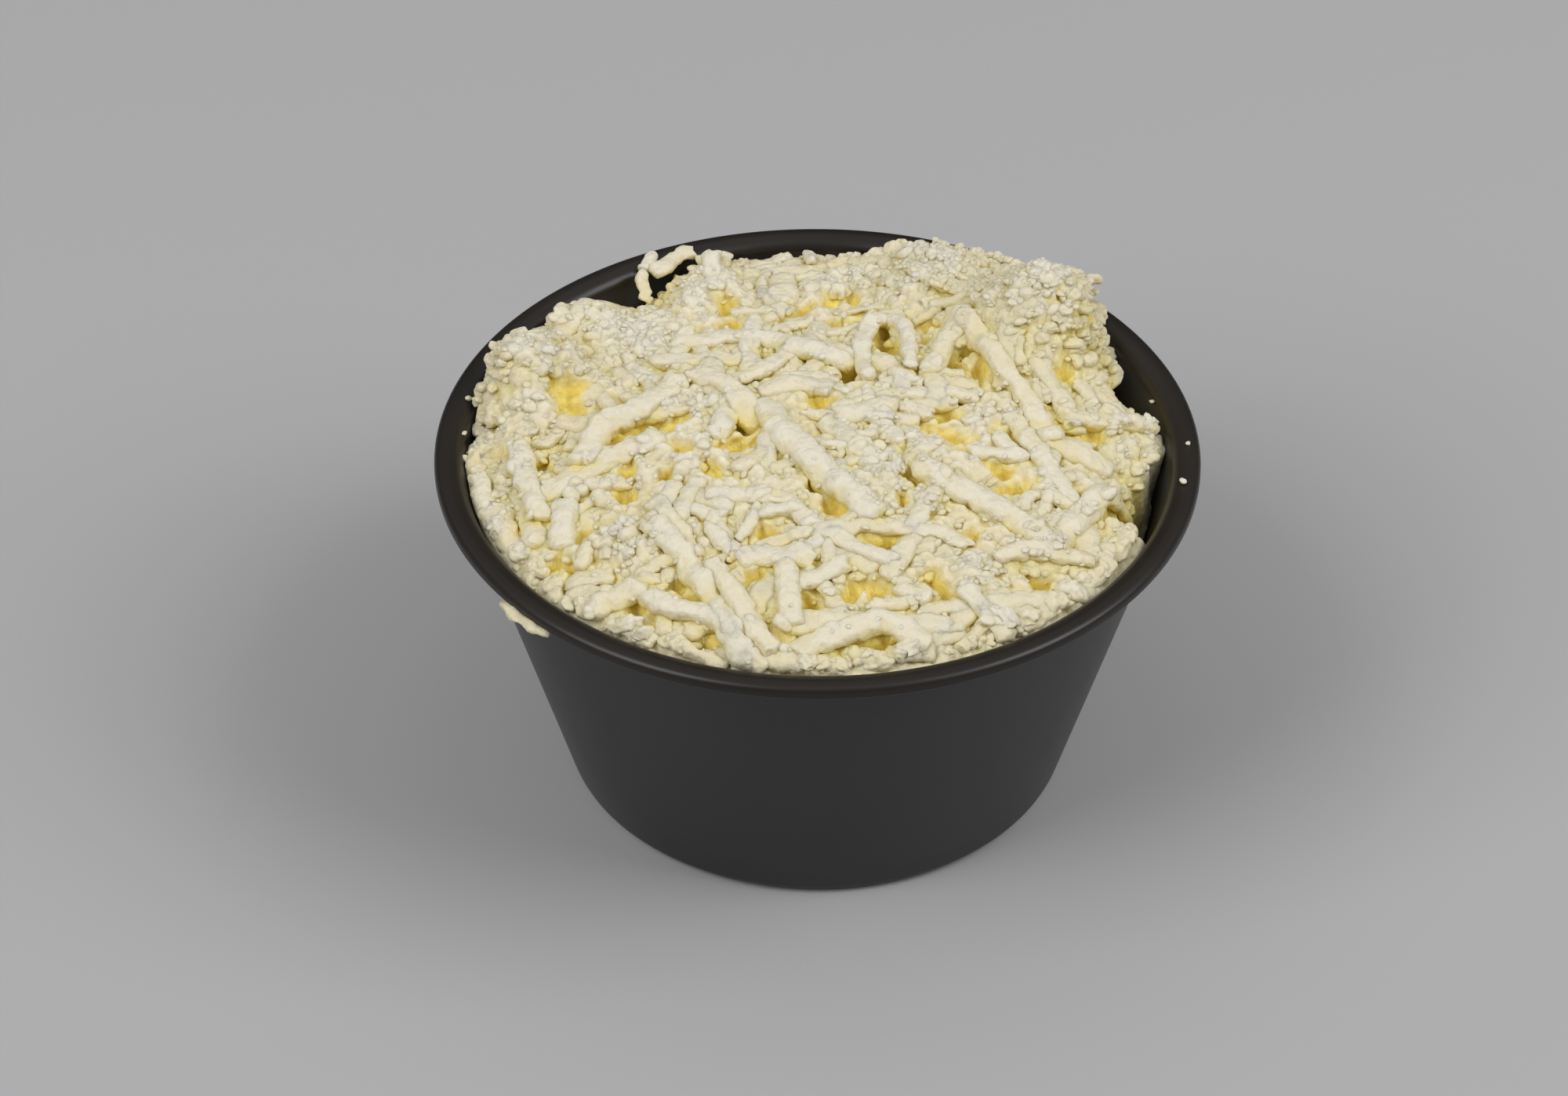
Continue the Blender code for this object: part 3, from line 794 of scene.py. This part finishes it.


# ---- how open to the sky a point is: the cheese's painted shade and glow follow it ---
def openness(p):
    """0 deep between the gratings, 1 out on the heap's top."""
    total = np.zeros(len(p))
    for k in range(12):
        a = 2 * math.pi * (k + 0.5) / 12
        horizon = np.zeros(len(p))
        for d in (0.5, 0.9, 1.4, 2.0, 2.8, 3.8, 5.2):
            h = sample(HEAP, p[:, 0] + d * math.cos(a), p[:, 1] + d * math.sin(a))
            horizon = np.maximum(horizon, (h - p[:, 2] - 0.08) / d)
        total += 1 - horizon / np.sqrt(1 + horizon * horizon)
    here = sample(HEAP, p[:, 0], p[:, 1]) - p[:, 2]
    covered = np.clip((here - 0.5) / 1.4, 0, 1)
    total = (total / 12) * (1 - 0.45 * covered)
    # painted glow: in the wells this value is pushed down, so the colour that follows it paints them gold
    gold = sample(WELL_GLOW, p[:, 0], p[:, 1])
    deep = np.clip((heap_top(p[:, 0], p[:, 1]) - p[:, 2] - 0.4) / 1.6, 0, 1)
    result = 1 - (1 - total * (1 - 0.3 * deep * gold)) * (0.8 + 0.2 * gold) - 0.25 * gold * gold * np.clip(deep * 2, 0, 1)
    # light reaches the heap's flank along the wall too
    return np.maximum(result, 0.84 * np.clip((np.hypot(p[:, 0], p[:, 1]) - 25.4) / 1.4, 0, 1))


# ---- meshes -----------------------------------------------------------------
def new_object(name, points, faces, smooth=True, attributes=None):
    mesh = bpy.data.meshes.new(name)
    counts = np.concatenate([np.full(len(f), f.shape[1]) for f in faces]).astype(np.int32)
    loops = np.concatenate([f.ravel() for f in faces]).astype(np.int32)
    mesh.vertices.add(len(points))
    mesh.vertices.foreach_set("co", (points * MM).astype(np.float32).ravel())
    mesh.loops.add(len(loops))
    mesh.loops.foreach_set("vertex_index", loops)
    mesh.polygons.add(len(counts))
    starts = np.concatenate([[0], np.cumsum(counts)[:-1]]).astype(np.int32)
    mesh.polygons.foreach_set("loop_start", starts)
    mesh.polygons.foreach_set("loop_total", counts)
    mesh.update(calc_edges=True)
    mesh.validate()
    if smooth:
        mesh.shade_smooth()
    for key, values in (attributes or {}).items():
        layer = mesh.attributes.new(key, "FLOAT", "POINT")
        layer.data.foreach_set("value", values.astype(np.float32))
    obj = bpy.data.objects.new(name, mesh)
    bpy.context.scene.collection.objects.link(obj)
    return obj


def join(parts):
    """Lists of (points, quads, tris, tint) to one set of arrays."""
    offset, points, quads, tris, tint = 0, [], [], [], []
    for p, q, t, shade in parts:
        points.append(p)
        if q is not None:
            quads.append(q + offset)
        tris.append(t + offset)
        tint.append(np.full(len(p), shade))
        offset += len(p)
    faces = ([np.concatenate(quads)] if quads else []) + [np.concatenate(tris)]
    return np.concatenate(points), faces, np.concatenate(tint)


def lathe(name, profile, steps):
    prof = np.array(profile)
    inner = prof[1:-1]
    a = 2 * math.pi * np.arange(steps) / steps
    pts = np.stack([inner[None, :, 0] * np.cos(a)[:, None], inner[None, :, 0] * np.sin(a)[:, None],
                    np.broadcast_to(inner[None, :, 1], (steps, len(inner)))], -1).reshape(-1, 3)
    pts = np.concatenate([pts, [[0, 0, prof[0][1]], [0, 0, prof[-1][1]]]])
    m = len(inner)
    i = np.arange(steps)[:, None]
    j = np.arange(m - 1)[None, :]
    i1 = (i + 1) % steps
    quads = np.stack(np.broadcast_arrays(i * m + j, i * m + j + 1, i1 * m + j + 1, i1 * m + j), -1).reshape(-1, 4)
    k = np.arange(steps)
    k1 = (k + 1) % steps
    first, last = steps * m, steps * m + 1
    tris = np.concatenate([np.stack([np.full(steps, first), k * m, k1 * m], 1),
                           np.stack([np.full(steps, last), k1 * m + m - 1, k * m + m - 1], 1)])
    return new_object(name, pts, [quads, tris])


cup = lathe("cup_shell", cup_profile(), 240)

# the core: what fills the cup under the gratings
ANG, RAD = 700, 130
turn = 2 * math.pi * np.arange(ANG) / ANG
reach = np.arange(23.5, 28.35, 0.05)
side = (reach + 0.06 - (BASE_RADIUS - WALL_ACROSS)) / WALL_SLOPE          # the wall's height there
under = sample(CORE, reach[:, None] * np.cos(turn), reach[:, None] * np.sin(turn)) < side[:, None]
under[-1] = True
brim = reach[np.argmax(under, axis=0)]
brim = sum(w * np.roll(brim, k) for k, w in ((-2, 1), (-1, 2), (0, 3), (1, 2), (2, 1))) / 9
share = np.linspace(0, 1, RAD + 1) ** 0.9
rr = share[:, None] * brim[None, :]
cx, cy = rr * np.cos(turn)[None, :], rr * np.sin(turn)[None, :]
cz = np.minimum(sample(CORE, cx, cy), 29.2 + 30.0 * np.clip(28.2 - rr, 0, 1))
cz = np.maximum(cz, (rr + 0.06 - (BASE_RADIUS - WALL_ACROSS)) / WALL_SLOPE)
# crumbs all over it, standing out along the surface's own normal so that steep flanks have them too
face = np.stack([cx, cy, cz], -1)
round_ = np.roll(face, -1, axis=1) - np.roll(face, 1, axis=1)
outward = np.gradient(face, axis=0)
normal = np.cross(outward, round_)
normal[0] = (0, 0, 1)
normal /= np.linalg.norm(normal, axis=2, keepdims=True) + 1e-12
for _ in range(2):
    normal[1:-1] = normal[1:-1] * 0.4 + 0.15 * (np.roll(normal, 1, 1) + np.roll(normal, -1, 1))[1:-1] + 0.15 * (normal[2:] + normal[:-2])
normal /= np.linalg.norm(normal, axis=2, keepdims=True) + 1e-12
flat = face.reshape(-1, 3)
bumps = 0.62 * (lumps3(flat, 1.45, 51) - 0.68) + 0.42 * (lumps3(flat, 0.75, 54) - 0.68) + 0.14 * noise3(flat, 0.5, 57)
bumps = bumps.reshape(cx.shape) * np.clip((brim[None, :] - rr) / 0.3, 0, 1)
face = face + normal * bumps[..., None]
r = np.hypot(face[..., 0], face[..., 1]) + 1e-9
pull = np.minimum(1.0, (inner_wall(np.minimum(face[..., 2], 29.3)) - 0.06) / r)
face[..., 0] *= pull
face[..., 1] *= pull
rows = [face.reshape(-1, 3)]
edge_z = cz[-1]
for f in (0.25, 0.5, 0.75, 1.0):
    z = edge_z * (1 - f) + 2.2 * f
    r = inner_wall(z) - 0.06
    rows.append(np.stack([r * np.cos(turn), r * np.sin(turn), z], -1))
core_pts = np.concatenate(rows + [np.array([[0, 0, 2.2]])])
n_rows = RAD + 1 + 4
i = np.arange(ANG)
i1 = (i + 1) % ANG
j = np.arange(n_rows - 1)[:, None] * ANG
quads = np.stack(np.broadcast_arrays(j + i, j + ANG + i, j + ANG + i1, j + i1), -1).reshape(-1, 4)
tris = np.stack([(n_rows - 1) * ANG + i, np.full(ANG, n_rows * ANG), (n_rows - 1) * ANG + i1], 1)
# painted shade: the creases between the bumps are made to look less open, so they are painted golder
crease_shade = np.zeros(len(core_pts))
crease_shade[:bumps.size] = np.clip(-bumps.ravel() / 0.4, 0, 1)
core = new_object("cheese_core", core_pts, [quads, tris],
                  attributes={"open": openness(core_pts) - 0.10 * crease_shade, "tint": np.full(len(core_pts), 0.5)})
print("cheese_core tris", 2 * len(quads) + len(tris), file=sys.stderr)

long_ones = [s for s in strands if len(s.x) * s.step > 9.0]
short_ones = [s for s in strands if len(s.x) * s.step <= 9.0]
made = {}
for name, group in (("cheese_gratings_long", long_ones), ("cheese_gratings_short", short_ones)):
    parts = []
    for s in group:
        p, q, t = strand_mesh(s)
        parts.append((p, q, t, s.tint))
    pts_, faces_, tint_ = join(parts)
    made[name] = new_object(name, pts_, faces_, attributes={"open": openness(pts_), "tint": tint_})
    print(name, len(group), "tris", 2 * len(faces_[0]) + len(faces_[1]), file=sys.stderr)
for name, level in (("cheese_clumps", 3), ("cheese_crumbs", 2), ("cheese_grains", 1)):
    group = [c for c in crumbs if c[9] == level]
    parts = []
    for c in group:
        p, f = crumb_mesh(c)
        p = inside_wall(p)
        parts.append((p, None, f, c[8]))
    pts_, faces_, tint_ = join(parts)
    made[name] = new_object(name, pts_, faces_, attributes={"open": openness(pts_), "tint": tint_})
    print(name, len(group), "tris", len(faces_[0]), file=sys.stderr)


# ---- materials --------------------------------------------------------------
def node(tree, kind, **values):
    n = tree.nodes.new(kind)
    for key, value in values.items():
        if key in n.inputs:
            n.inputs[key].default_value = value
        else:
            setattr(n, key, value)
    return n


def cheese_material(name, scatter):
    mat = bpy.data.materials.new(name)
    mat.use_nodes = True
    tree = mat.node_tree
    link = tree.links.new
    bsdf = tree.nodes["Principled BSDF"]
    coords = tree.nodes.new("ShaderNodeTexCoord")
    opened = node(tree, "ShaderNodeAttribute", attribute_name="open")
    tint = node(tree, "ShaderNodeAttribute", attribute_name="tint")
    # painted shade and glow: by how open to the sky a point is, cream out on top, through butter yellow, to gold deep
    # in the gaps, standing in for shade and for light coming through the cheese
    ramp = node(tree, "ShaderNodeValToRGB")
    ramp.color_ramp.interpolation = "EASE"
    stops = ramp.color_ramp.elements
    stops[0].position, stops[0].color = 0.24, (0.84, 0.695, 0.185, 1)
    stops[1].position, stops[1].color = 1.0, (0.775, 0.722, 0.588, 1)
    for place, colour in ((0.50, (0.80, 0.68, 0.28, 1)), (0.70, (0.765, 0.68, 0.385, 1)), (0.86, (0.74, 0.67, 0.47, 1))):
        stops.new(place).color = colour
    wobble = node(tree, "ShaderNodeTexNoise", Scale=420.0, Detail=3.0)
    link(coords.outputs["Object"], wobble.inputs["Vector"])
    shift = node(tree, "ShaderNodeMath", operation="MULTIPLY_ADD")
    shift.inputs[1].default_value = 0.22
    link(wobble.outputs["Fac"], shift.inputs[0])
    lower = node(tree, "ShaderNodeMath", operation="SUBTRACT")
    lower.inputs[1].default_value = 0.11
    link(opened.outputs["Fac"], lower.inputs[0])
    link(lower.outputs[0], shift.inputs[2])
    link(shift.outputs[0], ramp.inputs["Fac"])
    # each grating a little whiter or creamier than the next
    cream = node(tree, "ShaderNodeMix", data_type="RGBA", blend_type="MULTIPLY")
    warm = node(tree, "ShaderNodeValToRGB")
    warm.color_ramp.elements[0].color = (1.0, 1.0, 1.0, 1)
    warm.color_ramp.elements[1].color = (1.0, 0.975, 0.90, 1)
    link(tint.outputs["Fac"], warm.inputs["Fac"])
    cream.inputs["Factor"].default_value = 1.0
    link(ramp.outputs["Color"], cream.inputs["A"])
    link(warm.outputs["Color"], cream.inputs["B"])
    link(cream.outputs["Result"], bsdf.inputs["Base Color"])
    # moist in patches
    wet = node(tree, "ShaderNodeTexNoise", Scale=260.0, Detail=2.0)
    link(coords.outputs["Object"], wet.inputs["Vector"])
    rough = node(tree, "ShaderNodeMapRange")
    rough.inputs["To Min"].default_value = 0.36
    rough.inputs["To Max"].default_value = 0.66
    link(wet.outputs["Fac"], rough.inputs["Value"])
    link(rough.outputs["Result"], bsdf.inputs["Roughness"])
    # curd texture
    grain = node(tree, "ShaderNodeTexNoise", Scale=2400.0, Detail=4.0, Roughness=0.65)
    curd = node(tree, "ShaderNodeTexVoronoi", Scale=1900.0)
    link(coords.outputs["Object"], grain.inputs["Vector"])
    link(coords.outputs["Object"], curd.inputs["Vector"])
    both = node(tree, "ShaderNodeMath", operation="ADD")
    link(grain.outputs["Fac"], both.inputs[0])
    link(curd.outputs["Distance"], both.inputs[1])
    bump = node(tree, "ShaderNodeBump", Strength=0.6, Distance=0.00018)
    link(both.outputs[0], bump.inputs["Height"])
    link(bump.outputs["Normal"], bsdf.inputs["Normal"])
    bsdf.inputs["Subsurface Weight"].default_value = scatter
    bsdf.inputs["Subsurface Radius"].default_value = (1.0, 0.9, 0.7)
    bsdf.inputs["Subsurface Scale"].default_value = 0.0009
    bsdf.inputs["Specular IOR Level"].default_value = 0.30
    return mat


def plastic_material():
    mat = bpy.data.materials.new("black_plastic")
    mat.use_nodes = True
    tree = mat.node_tree
    link = tree.links.new
    bsdf = tree.nodes["Principled BSDF"]
    coords = tree.nodes.new("ShaderNodeTexCoord")
    haze = node(tree, "ShaderNodeTexNoise", Scale=90.0, Detail=5.0, Roughness=0.62)
    link(coords.outputs["Object"], haze.inputs["Vector"])
    tone = node(tree, "ShaderNodeValToRGB")
    tone.color_ramp.elements[0].position = 0.3
    tone.color_ramp.elements[0].color = (0.017, 0.0165, 0.0165, 1)
    tone.color_ramp.elements[1].position = 0.75
    tone.color_ramp.elements[1].color = (0.024, 0.023, 0.023, 1)
    link(haze.outputs["Fac"], tone.inputs["Fac"])
    # painted reflection: the rim above the lip's lower edge is darker and a little brown, standing in for the dark,
    # warm surroundings it mirrors
    place = tree.nodes.new("ShaderNodeSeparateXYZ")
    link(coords.outputs["Object"], place.inputs["Vector"])
    up = node(tree, "ShaderNodeMapRange")
    up.inputs["From Min"].default_value = (CUP_HEIGHT - LIP_HEIGHT - 0.3) * MM
    up.inputs["From Max"].default_value = (CUP_HEIGHT - LIP_HEIGHT + 0.2) * MM
    link(place.outputs["Z"], up.inputs["Value"])
    rim_reflection_tint = node(tree, "ShaderNodeMix", data_type="RGBA", blend_type="MULTIPLY")
    rim_reflection_tint.inputs["B"].default_value = (0.62, 0.46, 0.30, 1)
    link(up.outputs["Result"], rim_reflection_tint.inputs["Factor"])
    link(tone.outputs["Color"], rim_reflection_tint.inputs["A"])
    link(rim_reflection_tint.outputs["Result"], bsdf.inputs["Base Color"])
    rough = node(tree, "ShaderNodeMapRange")
    rough.inputs["To Min"].default_value = 0.30
    rough.inputs["To Max"].default_value = 0.44
    link(haze.outputs["Fac"], rough.inputs["Value"])
    link(rough.outputs["Result"], bsdf.inputs["Roughness"])
    skin = node(tree, "ShaderNodeTexNoise", Scale=1400.0, Detail=2.0)
    link(coords.outputs["Object"], skin.inputs["Vector"])
    bump = node(tree, "ShaderNodeBump", Strength=0.06, Distance=0.00005)
    link(skin.outputs["Fac"], bump.inputs["Height"])
    link(bump.outputs["Normal"], bsdf.inputs["Normal"])
    bsdf.inputs["Specular IOR Level"].default_value = 0.42
    return mat


gratings = cheese_material("grated_cheese", 0.3)
pressed = cheese_material("pressed_cheese", 0.8)
cup.data.materials.append(plastic_material())
core.data.materials.append(pressed)
for obj in made.values():
    obj.data.materials.append(gratings)

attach(cup, "root")
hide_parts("cup")
for obj in [core, *made.values()]:
    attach(obj, "root")
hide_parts("grated_cheese")

# ---- floor, light, camera ---------------------------------------------------
mesh = bpy.data.meshes.new("floor")
mesh.from_pydata([(-3, -3, 0), (3, -3, 0), (3, 3, 0), (-3, 3, 0)], [], [(0, 1, 2, 3)])
floor = bpy.data.objects.new("floor", mesh)
bpy.context.scene.collection.objects.link(floor)
grey = bpy.data.materials.new("floor_grey")
grey.use_nodes = True
shader = grey.node_tree.nodes["Principled BSDF"]
shader.inputs["Base Color"].default_value = (0.422, 0.422, 0.429, 1)
shader.inputs["Roughness"].default_value = 0.9
shader.inputs["Specular IOR Level"].default_value = 0.1
mesh.materials.append(grey)


def softbox(name, place, size, watts, colour=(1, 1, 1)):
    light = bpy.data.lights.new(name, "AREA")
    light.shape = "RECTANGLE"
    light.size, light.size_y = size
    light.energy = watts
    light.color = colour
    obj = bpy.data.objects.new(name, light)
    obj.location = place
    direction = -obj.location.copy()
    direction.z += 0.02
    obj.rotation_euler = direction.to_track_quat("-Z", "Y").to_euler()
    bpy.context.scene.collection.objects.link(obj)
    return obj


softbox("softbox_left", (-0.62, -0.40, 0.72), (0.55, 0.7), 5.45)
softbox("softbox_right", (0.71, -0.20, 0.70), (0.55, 0.7), 5.45)
softbox("overhead", (0.0, 0.45, 1.25), (2.2, 1.7), 5.8)

world = bpy.data.worlds.new("studio")
bpy.context.scene.world = world
world.use_nodes = True
sky = world.node_tree.nodes["Background"]
sky.inputs["Color"].default_value = (1, 1, 1, 1)
# the studio is dark behind the object, where the rim's flat top mirrors it
aim = node(world.node_tree, "ShaderNodeTexCoord")
toward = node(world.node_tree, "ShaderNodeVectorMath", operation="DOT_PRODUCT")
toward.inputs[1].default_value = (0.0, 0.785, 0.62)
level = node(world.node_tree, "ShaderNodeMapRange")
level.inputs["From Min"].default_value = 0.55
level.inputs["From Max"].default_value = 0.92
level.inputs["To Min"].default_value = 0.22
level.inputs["To Max"].default_value = 0.015
world.node_tree.links.new(aim.outputs["Generated"], toward.inputs[0])
world.node_tree.links.new(toward.outputs["Value"], level.inputs["Value"])
world.node_tree.links.new(level.outputs["Result"], sky.inputs["Strength"])

camera_data = bpy.data.cameras.new("camera")
camera_data.sensor_width = 36.0
camera_data.lens = FOCAL / 2000.0 * 36.0
camera_data.clip_start = 0.01
camera = bpy.data.objects.new("camera", camera_data)
camera.location = [c * MM for c in EYE]
camera.rotation_euler = (math.pi / 2 - ELEVATION, 0.0, 0.0)
bpy.context.scene.collection.objects.link(camera)
bpy.context.scene.camera = camera
bpy.context.scene.view_settings.view_transform = "Standard"
bpy.context.scene.view_settings.look = "None"
